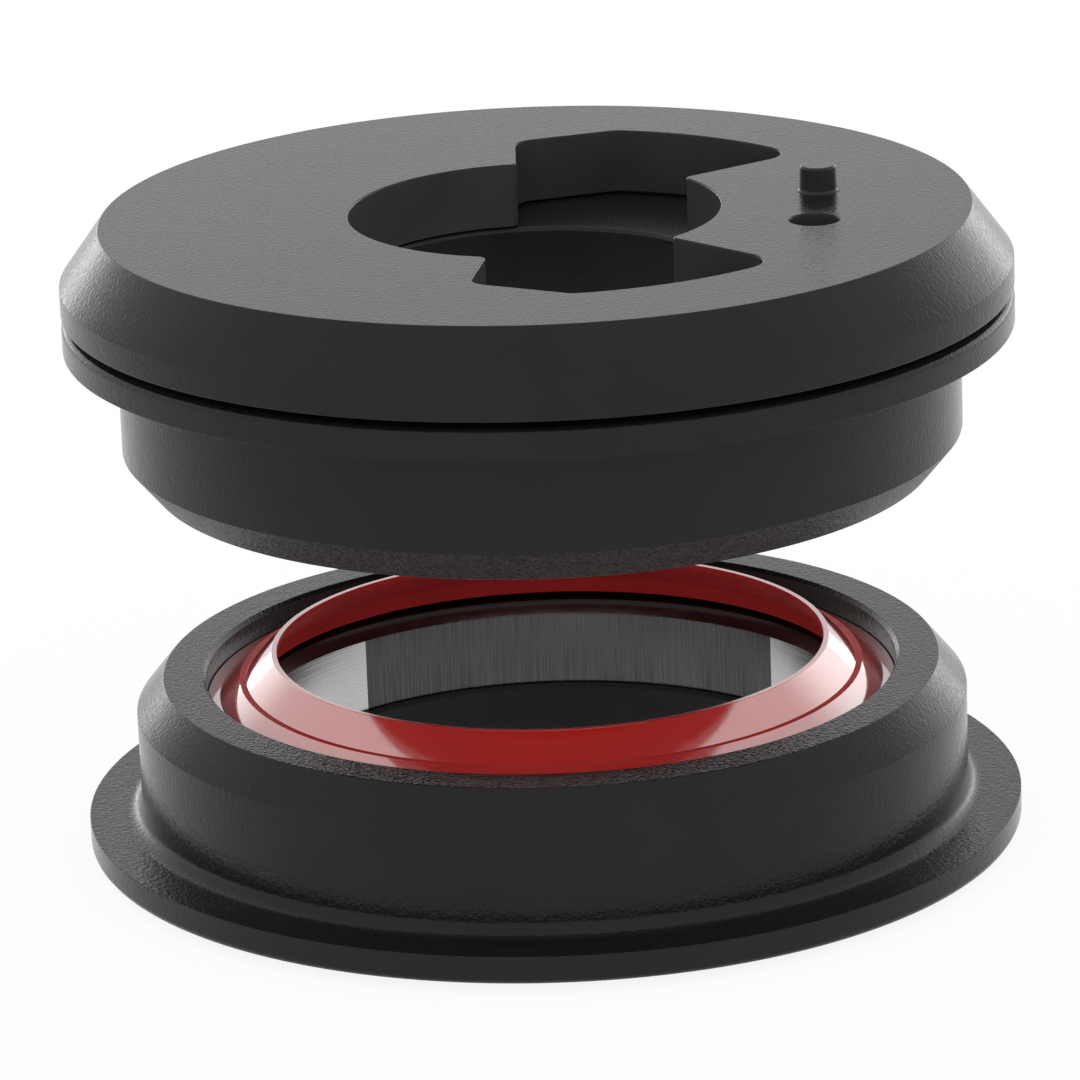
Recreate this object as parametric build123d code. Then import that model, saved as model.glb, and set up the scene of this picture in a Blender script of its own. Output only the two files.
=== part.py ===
"""Bicycle headset for a tapered steerer: an upper and a lower stack on one axis, in millimetres, +Z up.

Each stack is a press-in cup with an angular-contact cartridge bearing. The upper one carries a top cover
on a split compression ring, and the lower one a steerer wiper seal and a crown race. The two cups stand
apart with the frame's head tube left out. Inside a stack, sections are drawn as (radius, depth), where depth
runs from the cup's flange face towards its nose, so one set of sizes serves both stacks.
"""
import os
from math import cos, hypot, radians, sin, tan

from build123d import *

# Steerer and fork
UPPER_STEERER_D = 28.6
LOWER_STEERER_D = 45.7
STEERER_CLEARANCE = 0.1
CROWN_BORE_CLEARANCE = 0.15

# Cartridge bearing
BEARING_BORE_STEP = 0.6
BEARING_SECTION = 6.4
BEARING_HEIGHT = 8.2
RACE_GAP = 2.6
INNER_RACE_STEP = 0.6
INNER_SEAT_CHAMFER = 1.2
OUTER_SEAT_CHAMFER = 1.5
INNER_RACE_BEVEL = 0.95
BALL_D = 3.97
BALL_COUNT = 16
BALL_CLEARANCE = 0.06
CAGE_WALL = 1.2
CAGE_RIM = 0.6
CAGE_CLEARANCE = 0.1
BEARING_SEAL_THICKNESS = 0.6
BEARING_SEAL_RECESS = 0.1
BEARING_SEAL_RUNNING_GAP = 0.15

# Press-in cup
CUP_WALL = 3.0
BEARING_SKIRT = 1.5
SEAT_CLEARANCE = 0.03
WEB_THICKNESS = 0.85
WEB_REACH = 1.6
POCKET_LEDGE = 0.9
POCKET_DEPTH = 2.8
RIM_BEVEL = 0.3
NOSE_CHAMFER_RADIAL = 2.2
NOSE_CHAMFER_AXIAL = 2.65
FLANGE_LIP = 4.2
FLANGE_THICKNESS = 2.3
FLANGE_ROUND = 0.6
FLANGE_FILLET = 1.2
MOUTH_CHAMFER = 0.5

# Distance between the two noses, where the head tube goes
NOSE_SPREAD = 16.4

# Compression ring
RING_RIM_MARGIN = 1.3
RING_RISE = 1.8
RING_PLUG_DEPTH = 0.5
RING_EDGE = 0.3
RING_SPLIT_WIDTH = 1.2
RING_SPLIT_ANGLE = 205.0
CONE_CLEARANCE = 0.02

# Top cover
COVER_SEAT_GAP = 0.1
COVER_THICKNESS = 5.15
COVER_SKIRT_DROP = 1.3
COVER_SKIRT_WALL = 3.7
COVER_CHAMFER_RADIAL = 3.2
COVER_CHAMFER_AXIAL = 4.35
COVER_BORE_EASE = 0.1

# Two wing-shaped recesses of the cover, mirrored about the X axis
LOBE_LAND = 0.5
LOBE_TIP_ANGLE = 39.9
LOBE_CORNER_ANGLE = 79.3
LOBE_HEEL_ANGLE = 98.3
LOBE_HEEL_INSET = 3.5
LOBE_HEEL_LEAN = 4.8
LOBE_HEEL_ROUND = 1.8
LOBE_TIP_ROUND = 2.6
LOBE_MOUTH_ROUND = 0.6

# Locating pin, pressed into the cover, and the open hole on the other side of the X axis
PIN_REACH = 22.4
PIN_ANGLE = 11.7
PIN_D = 2.86
PIN_RISE = 2.05
PIN_COLLAR_D = 3.26
PIN_COLLAR_DEPTH = 0.3
PIN_STEM_D = 2.4
PIN_SOCKET_DEPTH = 3.0
PIN_FIT_CLEARANCE = 0.02
PIN_EDGE = 0.15
KEY_HOLE_D = 3.8
KEY_HOLE_DEPTH = 2.5

# Cover seal
COVER_SEAL_WIDTH = 2.2
COVER_SEAL_INSET = 0.4
SEAL_RUNNING_GAP = 0.3

# Steerer wiper seal
WIPER_BITE = 1.15
WIPER_LIP_WIDTH = 0.45
WIPER_LIP_DEPTH = 0.45
WIPER_UPPER_RUN = 2.1
WIPER_UPPER_RISE = 2.03
WIPER_LEDGE = 0.5
WIPER_LOWER_RUN = 1.6
WIPER_LOWER_RISE = 1.45
WIPER_FOOT_THICKNESS = 0.85
WIPER_WALL = 1.0
WIPER_UNDERCUT = 0.65
WIPER_HEEL = 0.7
WIPER_FIT = 0.05

# Crown race and its seal
CROWN_PROUD = 0.7
CROWN_RUNNING_GAP = 0.4
CROWN_RIM_GAP = 0.6
CROWN_BEVEL = 0.3
CROWN_TOP_REACH = 0.1
CROWN_SEAL_GROOVE = 0.9
CROWN_SEAL_HEIGHT = 0.8
CROWN_SEAL_FIT = 0.05
CROWN_SEAL_FLOOR = 0.8

# Radii that follow
STEERER_BORE_R = UPPER_STEERER_D / 2 + STEERER_CLEARANCE
CROWN_BORE_R = LOWER_STEERER_D / 2 + CROWN_BORE_CLEARANCE
BEARING_BORE_R = CROWN_BORE_R + BEARING_BORE_STEP
BEARING_R = BEARING_BORE_R + BEARING_SECTION
PITCH_R = (BEARING_BORE_R + BEARING_R) / 2
INNER_RACE_R = PITCH_R - RACE_GAP / 2
OUTER_RACE_R = PITCH_R + RACE_GAP / 2
BALL_R = BALL_D / 2
CUP_BORE_R = BEARING_R + SEAT_CLEARANCE
BODY_R = BEARING_R + CUP_WALL
FLANGE_R = BODY_R + FLANGE_LIP
RIM_R = BODY_R - NOSE_CHAMFER_RADIAL
WEB_R = OUTER_RACE_R - WEB_REACH
POCKET_R = WEB_R + POCKET_LEDGE

# Depths that follow, from a cup's flange face towards its nose
OUTER_RACE_START = BEARING_SKIRT
OUTER_RACE_END = OUTER_RACE_START + BEARING_HEIGHT
INNER_RACE_START = OUTER_RACE_START + INNER_RACE_STEP
INNER_RACE_END = INNER_RACE_START + BEARING_HEIGHT
BALL_DEPTH = (OUTER_RACE_START + INNER_RACE_END) / 2
WEB_START = OUTER_RACE_END + SEAT_CLEARANCE
WEB_END = WEB_START + WEB_THICKNESS
NOSE_DEPTH = WEB_END + POCKET_DEPTH

# The seat cone is the line where radius plus depth is this sum
SEAT_CONE_SUM = BEARING_BORE_R + INNER_RACE_START + INNER_SEAT_CHAMFER - CONE_CLEARANCE


class Stack:
    """One stack's place on the axis: where its flange face lies and which way its nose points."""

    def __init__(self, face_z, direction):
        self.face_z = face_z
        self.direction = direction

    def height(self, depth):
        """World height of a depth measured from the flange face."""
        return self.face_z + self.direction * depth

    def turn(self, *section):
        """Solid of revolution of a closed (radius, depth) outline."""
        outline = Polyline([(r, self.height(depth)) for r, depth in section], close=True)
        return revolve(Plane.XZ * make_face(outline), axis=Axis.Z)


LOWER = Stack(CROWN_PROUD, 1)
UPPER = Stack(CROWN_PROUD + 2 * NOSE_DEPTH + NOSE_SPREAD, -1)


def polar(radius, angle):
    """Point in plan from a radius and an angle in degrees."""
    return (radius * cos(radians(angle)), radius * sin(radians(angle)))


def turned_edge(piece, radius, height):
    """The circular edge of a turned piece at a radius and a height."""
    return [
        edge for edge in piece.edges().filter_by(GeomType.CIRCLE)
        if abs(edge.radius - radius) < 0.01 and abs(edge.arc_center.Z - height) < 0.01
    ]


def cup(stack):
    """Press-in cup: flange, press-fit body, chamfered nose, bearing seat, web and pocket."""
    cup_body = stack.turn(
        (CUP_BORE_R + MOUTH_CHAMFER, 0),
        (FLANGE_R, 0),
        (FLANGE_R, FLANGE_THICKNESS),
        (BODY_R, FLANGE_THICKNESS),
        (BODY_R, NOSE_DEPTH - NOSE_CHAMFER_AXIAL),
        (RIM_R, NOSE_DEPTH),
        (POCKET_R + RIM_BEVEL, NOSE_DEPTH),
        (POCKET_R, NOSE_DEPTH - RIM_BEVEL),
        (POCKET_R, WEB_END),
        (WEB_R, WEB_END),
        (WEB_R, WEB_START),
        (CUP_BORE_R - OUTER_SEAT_CHAMFER, WEB_START),
        (CUP_BORE_R, WEB_START - OUTER_SEAT_CHAMFER),
        (CUP_BORE_R, MOUTH_CHAMFER),
    )
    cup_body = fillet(turned_edge(cup_body, BODY_R, stack.height(FLANGE_THICKNESS)), FLANGE_FILLET)
    return fillet(turned_edge(cup_body, FLANGE_R, stack.height(0)), FLANGE_ROUND)


def ball_groove(stack):
    """Ring-shaped track of the balls, cut into both races."""
    track = Circle(BALL_R + BALL_CLEARANCE)
    return revolve(Plane.XZ * Pos(PITCH_R, stack.height(BALL_DEPTH)) * track, axis=Axis.Z)


def outer_race(stack):
    """Outer race with the chamfer that seats in the cup."""
    race = stack.turn(
        (OUTER_RACE_R, OUTER_RACE_START),
        (BEARING_R, OUTER_RACE_START),
        (BEARING_R, OUTER_RACE_END - OUTER_SEAT_CHAMFER),
        (BEARING_R - OUTER_SEAT_CHAMFER, OUTER_RACE_END),
        (OUTER_RACE_R, OUTER_RACE_END),
    )
    return race - ball_groove(stack)


def inner_race(stack):
    """Inner race with the conical seat for the crown race or the compression ring."""
    race = stack.turn(
        (BEARING_BORE_R, INNER_RACE_START + INNER_SEAT_CHAMFER),
        (BEARING_BORE_R + INNER_SEAT_CHAMFER, INNER_RACE_START),
        (INNER_RACE_R, INNER_RACE_START),
        (INNER_RACE_R, INNER_RACE_END),
        (BEARING_BORE_R + INNER_RACE_BEVEL, INNER_RACE_END),
        (BEARING_BORE_R, INNER_RACE_END - INNER_RACE_BEVEL),
    )
    return race - ball_groove(stack)


def ball_places(stack):
    """Centres of the balls, evenly spaced round the pitch circle, half a pitch off the X axis."""
    ball_z = stack.height(BALL_DEPTH)
    pitch = 360 / BALL_COUNT
    return [Rot(0, 0, (i + 0.5) * pitch) * Pos(PITCH_R, 0, ball_z) for i in range(BALL_COUNT)]


def bearing_balls(stack):
    """All balls of one bearing."""
    return Compound([place * Sphere(BALL_R) for place in ball_places(stack)])


def bearing_cage(stack):
    """Cage that spaces the balls, one round pocket for each."""
    half_height = BALL_R + CAGE_RIM
    inner_r = PITCH_R - CAGE_WALL / 2
    outer_r = PITCH_R + CAGE_WALL / 2
    cage = stack.turn(
        (inner_r, BALL_DEPTH - half_height),
        (outer_r, BALL_DEPTH - half_height),
        (outer_r, BALL_DEPTH + half_height),
        (inner_r, BALL_DEPTH + half_height),
    )
    pocket = Rot(0, 90, 0) * Cylinder(BALL_R + CAGE_CLEARANCE, 2 * CAGE_WALL)
    return cage - [place * pocket for place in ball_places(stack)]


def bearing_seal(stack, start):
    """Flat rubber shield between the races, held by the outer one."""
    inner_r = INNER_RACE_R + BEARING_SEAL_RUNNING_GAP
    outer_r = OUTER_RACE_R - CONE_CLEARANCE
    end = start + BEARING_SEAL_THICKNESS
    return stack.turn((inner_r, start), (outer_r, start), (outer_r, end), (inner_r, end))


def compression_ring():
    """Split ring whose cone centres the steerer in the upper bearing and whose top carries the cover."""
    rim_r = BEARING_BORE_R + INNER_SEAT_CHAMFER + RING_RIM_MARGIN
    plug_depth = INNER_RACE_START + INNER_SEAT_CHAMFER + RING_PLUG_DEPTH
    ring = UPPER.turn(
        (STEERER_BORE_R, RING_EDGE - RING_RISE),
        (STEERER_BORE_R + RING_EDGE, -RING_RISE),
        (rim_r, -RING_RISE),
        (rim_r, SEAT_CONE_SUM - rim_r),
        (SEAT_CONE_SUM - plug_depth, plug_depth),
        (STEERER_BORE_R, plug_depth),
    )
    cut_length = 2 * rim_r
    cut_height = 2 * (plug_depth + RING_RISE)
    split = Box(cut_length, RING_SPLIT_WIDTH, cut_height, align=(Align.MIN, Align.CENTER, Align.CENTER))
    return ring - Rot(0, 0, RING_SPLIT_ANGLE) * Pos(0, 0, UPPER.height(0)) * split


def lobe_outline():
    """Plan of one wing-shaped recess: rounded tip, outer arc, bevelled and rounded heel, open to the bore."""
    lobe_r = BEARING_BORE_R + INNER_SEAT_CHAMFER + RING_RIM_MARGIN - LOBE_LAND
    heel_r = lobe_r - LOBE_HEEL_INSET
    inner_r = STEERER_BORE_R / 2
    mid_angle = (LOBE_TIP_ANGLE + LOBE_CORNER_ANGLE) / 2
    tip = polar(lobe_r, LOBE_TIP_ANGLE)
    corner = polar(lobe_r, LOBE_CORNER_ANGLE)
    heel = polar(heel_r, LOBE_HEEL_ANGLE)
    inner_tip = polar(inner_r, LOBE_TIP_ANGLE)
    inner_heel = (heel[0] + (heel[1] - inner_r) * tan(radians(LOBE_HEEL_LEAN)), inner_r)
    outline = [
        Line(inner_tip, tip),
        ThreePointArc(tip, polar(lobe_r, mid_angle), corner),
        Line(corner, heel),
        Line(heel, inner_heel),
        Line(inner_heel, inner_tip),
    ]
    lobe = make_face(outline)
    lobe = fillet(lobe.vertices().sort_by_distance((*heel, 0))[0], LOBE_HEEL_ROUND)
    return fillet(lobe.vertices().sort_by_distance((*tip, 0))[0], LOBE_TIP_ROUND)


COVER_UNDERSIDE = -RING_RISE - COVER_SEAT_GAP
COVER_TOP = COVER_UNDERSIDE - COVER_THICKNESS
COVER_SKIRT_R = FLANGE_R - COVER_SKIRT_WALL
PIN_PLACE = Pos(*polar(PIN_REACH, PIN_ANGLE), UPPER.height(COVER_TOP))
KEY_HOLE_PLACE = Pos(*polar(PIN_REACH, -PIN_ANGLE), UPPER.height(COVER_TOP))


def top_cover():
    """Turned cover with the steerer bore, the two wing recesses, the pin's socket and the key hole."""
    bore_r = STEERER_BORE_R + COVER_BORE_EASE
    cover = UPPER.turn(
        (bore_r, COVER_UNDERSIDE),
        (COVER_SKIRT_R, COVER_UNDERSIDE),
        (COVER_SKIRT_R, COVER_UNDERSIDE + COVER_SKIRT_DROP),
        (FLANGE_R, COVER_UNDERSIDE + COVER_SKIRT_DROP),
        (FLANGE_R, COVER_TOP + COVER_CHAMFER_AXIAL),
        (FLANGE_R - COVER_CHAMFER_RADIAL, COVER_TOP),
        (bore_r, COVER_TOP),
    )
    lobe = extrude(lobe_outline(), 2 * COVER_THICKNESS, both=True)
    lobe = Pos(0, 0, UPPER.height(COVER_TOP)) * lobe
    cover -= [lobe, mirror(lobe, Plane.XZ)]
    mouth = [
        edge for edge in cover.edges().filter_by(Axis.Z)
        if abs(hypot(edge.center().X, edge.center().Y) - bore_r) < 0.01 and abs(edge.center().Y) > 1
    ]
    cover = fillet(mouth, LOBE_MOUTH_ROUND)
    down = (Align.CENTER, Align.CENTER, Align.MAX)
    socket = Cylinder(PIN_STEM_D / 2 + PIN_FIT_CLEARANCE, PIN_SOCKET_DEPTH, align=down)
    socket += Cylinder(PIN_COLLAR_D / 2 + PIN_FIT_CLEARANCE, PIN_COLLAR_DEPTH, align=down)
    key_hole = Cylinder(KEY_HOLE_D / 2, KEY_HOLE_DEPTH, align=down)
    return cover - PIN_PLACE * socket - KEY_HOLE_PLACE * key_hole


def locating_pin():
    """Turned pin: a stem in the cover's socket, a sunk collar that flares into the pin, a bevelled top."""
    pin_r = PIN_D / 2
    collar_r = PIN_COLLAR_D / 2
    stem_r = PIN_STEM_D / 2
    outline = Polyline(
        (0, -PIN_SOCKET_DEPTH),
        (stem_r, -PIN_SOCKET_DEPTH),
        (stem_r, -PIN_COLLAR_DEPTH),
        (collar_r, -PIN_COLLAR_DEPTH),
        (collar_r, 0),
        (pin_r, collar_r - pin_r),
        (pin_r, PIN_RISE - PIN_EDGE),
        (pin_r - PIN_EDGE, PIN_RISE),
        (0, PIN_RISE),
        close=True,
    )
    return PIN_PLACE * revolve(Plane.XZ * make_face(outline), axis=Axis.Z)


def cover_seal():
    """Rubber ring under the cover that keeps water out of the upper bearing."""
    outer_r = COVER_SKIRT_R - COVER_SEAL_INSET
    inner_r = outer_r - COVER_SEAL_WIDTH
    lip_r = (inner_r + outer_r) / 2
    return UPPER.turn(
        (inner_r, COVER_UNDERSIDE),
        (outer_r, COVER_UNDERSIDE),
        (outer_r, -SEAL_RUNNING_GAP),
        (lip_r, -SEAL_RUNNING_GAP),
        (inner_r, COVER_UNDERSIDE + COVER_SKIRT_DROP),
    )


def steerer_wiper_seal():
    """Two-step conical wiper whose lip closes on the steerer above the lower bearing."""
    foot_r = POCKET_R - WIPER_FIT
    lip_r = LOWER_STEERER_D / 2 - WIPER_BITE
    lip_out_r = lip_r + WIPER_LIP_WIDTH
    ledge_in_r = lip_out_r + WIPER_UPPER_RUN
    ledge_out_r = ledge_in_r + WIPER_LEDGE
    valley_r = ledge_out_r + WIPER_LOWER_RUN
    foot_top = WEB_END + WIPER_FOOT_THICKNESS
    ledge_depth = foot_top + WIPER_LOWER_RISE
    lip_depth = ledge_depth + WIPER_UPPER_RISE
    throat_r = ledge_out_r - WIPER_WALL
    undercut = WEB_END + WIPER_UNDERCUT
    return LOWER.turn(
        (foot_r, WEB_END),
        (foot_r, foot_top),
        (valley_r, foot_top),
        (ledge_out_r, ledge_depth),
        (ledge_in_r, ledge_depth),
        (lip_out_r, lip_depth),
        (lip_r, lip_depth),
        (lip_r, lip_depth - WIPER_LIP_DEPTH),
        (throat_r, ledge_depth - WIPER_LIP_DEPTH),
        (throat_r, undercut),
        (valley_r - WIPER_HEEL, undercut),
        (valley_r - WIPER_HEEL, WEB_END),
    )


CROWN_RIM_R = CUP_BORE_R - CROWN_RIM_GAP
CROWN_SEAL_R = CROWN_RIM_R - CROWN_SEAL_GROOVE
CROWN_SEAL_START = CROWN_SEAL_FLOOR - CROWN_PROUD


def crown_race():
    """Race pressed on the fork crown: cone under the lower bearing, skirt and seal groove."""
    shoulder = OUTER_RACE_START - CROWN_RUNNING_GAP
    crown_top = INNER_RACE_START + INNER_SEAT_CHAMFER + CROWN_TOP_REACH
    groove_start = CROWN_SEAL_START - CROWN_SEAL_FIT
    groove_end = CROWN_SEAL_START + CROWN_SEAL_HEIGHT + CROWN_SEAL_FIT
    groove_r = CROWN_SEAL_R - CROWN_SEAL_FIT
    return LOWER.turn(
        (CROWN_BORE_R, -CROWN_PROUD),
        (CROWN_RIM_R, -CROWN_PROUD),
        (CROWN_RIM_R, groove_start),
        (groove_r, groove_start),
        (groove_r, groove_end),
        (CROWN_RIM_R, groove_end),
        (CROWN_RIM_R, shoulder),
        (SEAT_CONE_SUM - shoulder, shoulder),
        (SEAT_CONE_SUM - crown_top, crown_top),
        (CROWN_BORE_R + CROWN_BEVEL, crown_top),
        (CROWN_BORE_R, crown_top - CROWN_BEVEL),
    )


def crown_race_seal():
    """Rubber ring in the crown race's groove, close to the lower cup's mouth."""
    outer_r = CUP_BORE_R - SEAL_RUNNING_GAP
    end = CROWN_SEAL_START + CROWN_SEAL_HEIGHT
    return LOWER.turn(
        (CROWN_SEAL_R, CROWN_SEAL_START),
        (outer_r, CROWN_SEAL_START),
        (outer_r, end),
        (CROWN_SEAL_R, end),
    )


def bearing(name, stack):
    """All pieces of one cartridge bearing, by node name."""
    face_seal_start = INNER_RACE_START + BEARING_SEAL_RECESS
    nose_seal_start = OUTER_RACE_END - BEARING_SEAL_RECESS - BEARING_SEAL_THICKNESS
    return {
        f"{name}_bearing_outer_race": outer_race(stack),
        f"{name}_bearing_inner_race": inner_race(stack),
        f"{name}_bearing_balls": bearing_balls(stack),
        f"{name}_bearing_cage": bearing_cage(stack),
        f"{name}_bearing_face_seal": bearing_seal(stack, face_seal_start),
        f"{name}_bearing_nose_seal": bearing_seal(stack, nose_seal_start),
    }


def all_pieces():
    """Every piece of the headset, by node name."""
    pieces = {
        "top_cover": top_cover(),
        "locating_pin": locating_pin(),
        "cover_seal": cover_seal(),
        "compression_ring": compression_ring(),
        "upper_cup": cup(UPPER),
        "lower_cup": cup(LOWER),
        "steerer_wiper_seal": steerer_wiper_seal(),
        "crown_race": crown_race(),
        "crown_race_seal": crown_race_seal(),
    }
    pieces.update(bearing("upper", UPPER))
    pieces.update(bearing("lower", LOWER))
    return pieces


os.makedirs("parts", exist_ok=True)
for node, shape in all_pieces().items():
    export_step(shape, f"parts/{node}.step")
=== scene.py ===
"""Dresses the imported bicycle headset: turned rings, cut cover, pin, finishes, studio and camera.

Lengths in the classes are in millimetres unless they say otherwise, and angles in degrees. Meshes are made
in metres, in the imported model's frame. A finish has its scales in cells a metre and its depths in metres.
"""
import logging
import math
from collections.abc import Callable
from dataclasses import dataclass
from enum import Enum

import bpy
from mathutils import Matrix, Vector
from mathutils.geometry import tessellate_polygon


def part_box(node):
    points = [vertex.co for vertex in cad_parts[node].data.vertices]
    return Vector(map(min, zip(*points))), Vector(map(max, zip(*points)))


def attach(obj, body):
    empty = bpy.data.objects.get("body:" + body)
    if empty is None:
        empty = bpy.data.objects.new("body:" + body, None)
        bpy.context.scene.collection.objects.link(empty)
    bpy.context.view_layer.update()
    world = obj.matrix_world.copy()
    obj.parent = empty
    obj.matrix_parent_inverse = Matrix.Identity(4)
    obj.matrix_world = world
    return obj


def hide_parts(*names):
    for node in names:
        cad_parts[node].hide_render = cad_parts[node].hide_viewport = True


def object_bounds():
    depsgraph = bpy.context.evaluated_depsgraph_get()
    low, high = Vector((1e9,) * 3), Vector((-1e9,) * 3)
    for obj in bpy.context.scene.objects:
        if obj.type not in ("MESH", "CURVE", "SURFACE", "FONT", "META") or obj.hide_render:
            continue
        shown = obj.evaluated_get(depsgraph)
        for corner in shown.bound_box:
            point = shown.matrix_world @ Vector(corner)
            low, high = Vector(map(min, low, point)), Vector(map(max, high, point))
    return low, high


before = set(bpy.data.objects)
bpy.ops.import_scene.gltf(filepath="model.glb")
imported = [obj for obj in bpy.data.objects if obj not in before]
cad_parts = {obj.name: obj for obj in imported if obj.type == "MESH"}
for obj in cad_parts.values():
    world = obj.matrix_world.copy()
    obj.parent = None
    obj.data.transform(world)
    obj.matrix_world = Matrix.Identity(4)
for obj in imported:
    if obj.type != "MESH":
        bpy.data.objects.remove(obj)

CAD_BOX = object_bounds()
LOG = logging.getLogger("headset")

MM = 0.001
UP = Vector((0.0, 0.0, 1.0))
AXIS = Vector((0.0, 0.0))
WHITE = (1.0, 1.0, 1.0, 1.0)
Colour = tuple[float, float, float]
HoleSteps = tuple[tuple[float, float], ...]
FaceTest = Callable[[bpy.types.MeshPolygon], bool]
Source = tuple[bpy.types.Node, str]

# Steps of the turned and rounded forms
RING_SEGMENTS = 288
PIN_SEGMENTS = 72
ARC_STEP = math.radians(15)
LEAST_ARC_STEPS = 2

# What counts as straight, as a sliver and as a point on the axis, and how much of a run a rounding may take
STRAIGHT = 1e-4
SLIVER = 1e-9
AXIS_RADIUS = 1e-6
ROUND_SHARE = 0.48

# Height of a unit normal: below the first it is a wall's, above the others an end's or a flat's
WALL_TILT = 0.2
END_TILT = 0.6
FLAT_TILT = 0.95

# Places of the two colours and of their blend among a mix node's sockets
MIX_COLOURS = (6, 7)
MIX_RESULT = 2

# The middle of a lamp's diffuser, whose width and height both run from 0 to 1
DIFFUSER_MIDDLE = (0.5, 0.5, 0.0)

# The middle part of a noise, where nearly all of its values lie
NOISE_SPAN = (0.25, 0.75)
TONE_SPAN = (0.3, 0.7)


class Edge(float, Enum):
    """How an edge is finished, as a rounding radius in millimetres."""

    CURVE = 0.0
    SHARP = 0.004
    CRISP = 0.06
    EASED = 0.14


class Grain(float, Enum):
    """Depth of the fine grain in a black coating, in metres."""

    FINE = 0.000008
    FULL = 0.000028
    DEEP = 0.00006


@dataclass(frozen=True)
class Corner:
    """A corner of a flat outline and the radius that rounds it."""

    across: float
    up: float
    radius: float = Edge.CRISP

    def place(self) -> Vector:
        """The corner as a flat vector."""
        return Vector((self.across, self.up))


@dataclass(frozen=True)
class OutlinePoint:
    """A point of a rounded outline with its outward direction in the same plane."""

    place: Vector
    outward: Vector


@dataclass(frozen=True)
class Outline:
    """A flat outline of corners that keeps its material on the left."""

    corners: tuple[Corner, ...]
    closed: bool = True

    def points(self) -> list[OutlinePoint]:
        """Rounds every corner.

        Returns:
            The points of the rounded outline, in order.
        """
        last = len(self.corners) - 1
        result: list[OutlinePoint] = []
        for index, corner in enumerate(self.corners):
            if not self.closed and index == 0:
                result.append(self._end(corner, self.corners[1], corner))
            elif not self.closed and index == last:
                result.append(self._end(self.corners[last - 1], corner, corner))
            else:
                after = self.corners[(index + 1) % (last + 1)]
                result.extend(self._rounded(self.corners[index - 1], corner, after))
        return result

    @staticmethod
    def _right_of(direction: Vector) -> Vector:
        """Unit vector to the right of a direction."""
        return Vector((direction.y, -direction.x)).normalized()

    def _end(self, first: Corner, second: Corner, here: Corner) -> OutlinePoint:
        """An end of an open outline, square to its only run."""
        return OutlinePoint(here.place(), self._right_of(second.place() - first.place()))

    def _rounded(self, before: Corner, corner: Corner, after: Corner) -> list[OutlinePoint]:
        """Replaces one corner by an arc.

        Args:
            before: The corner ahead of it.
            corner: The corner to round.
            after: The corner that follows it.

        Returns:
            The arc's points, or the corner alone where it lies on a curve.
        """
        here = corner.place()
        back = before.place() - here
        ahead = after.place() - here
        reach = ROUND_SHARE * min(back.length, ahead.length)
        back.normalize()
        ahead.normalize()
        turn = back.y * ahead.x - back.x * ahead.y
        half = back.angle(ahead) / 2
        if corner.radius <= 0 or abs(turn) < STRAIGHT:
            outward = self._right_of(-back) + self._right_of(ahead)
            return [OutlinePoint(here, outward.normalized())]
        tangent = min(corner.radius / math.tan(half), reach)
        radius = tangent * math.tan(half)
        centre = here + (back + ahead).normalized() * (radius / math.sin(half))
        spoke = here + back * tangent - centre
        side = 1 if turn > 0 else -1
        sweep = side * (math.pi - 2 * half)
        steps = max(LEAST_ARC_STEPS, math.ceil(abs(sweep) / ARC_STEP))
        start = math.atan2(spoke.y, spoke.x)
        arc = []
        for step in range(steps + 1):
            angle = start + sweep * step / steps
            ray = Vector((math.cos(angle), math.sin(angle)))
            arc.append(OutlinePoint(centre + ray * radius, ray * side))
        return arc


@dataclass(frozen=True)
class Slit:
    """A cut with parallel faces through one side of a ring."""

    width: float
    angle: float

    def half_angle(self, radius: float) -> float:
        """Half the angle that the cut takes away at a radius."""
        return math.asin(min(1.0, self.width / 2 / radius))


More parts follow.
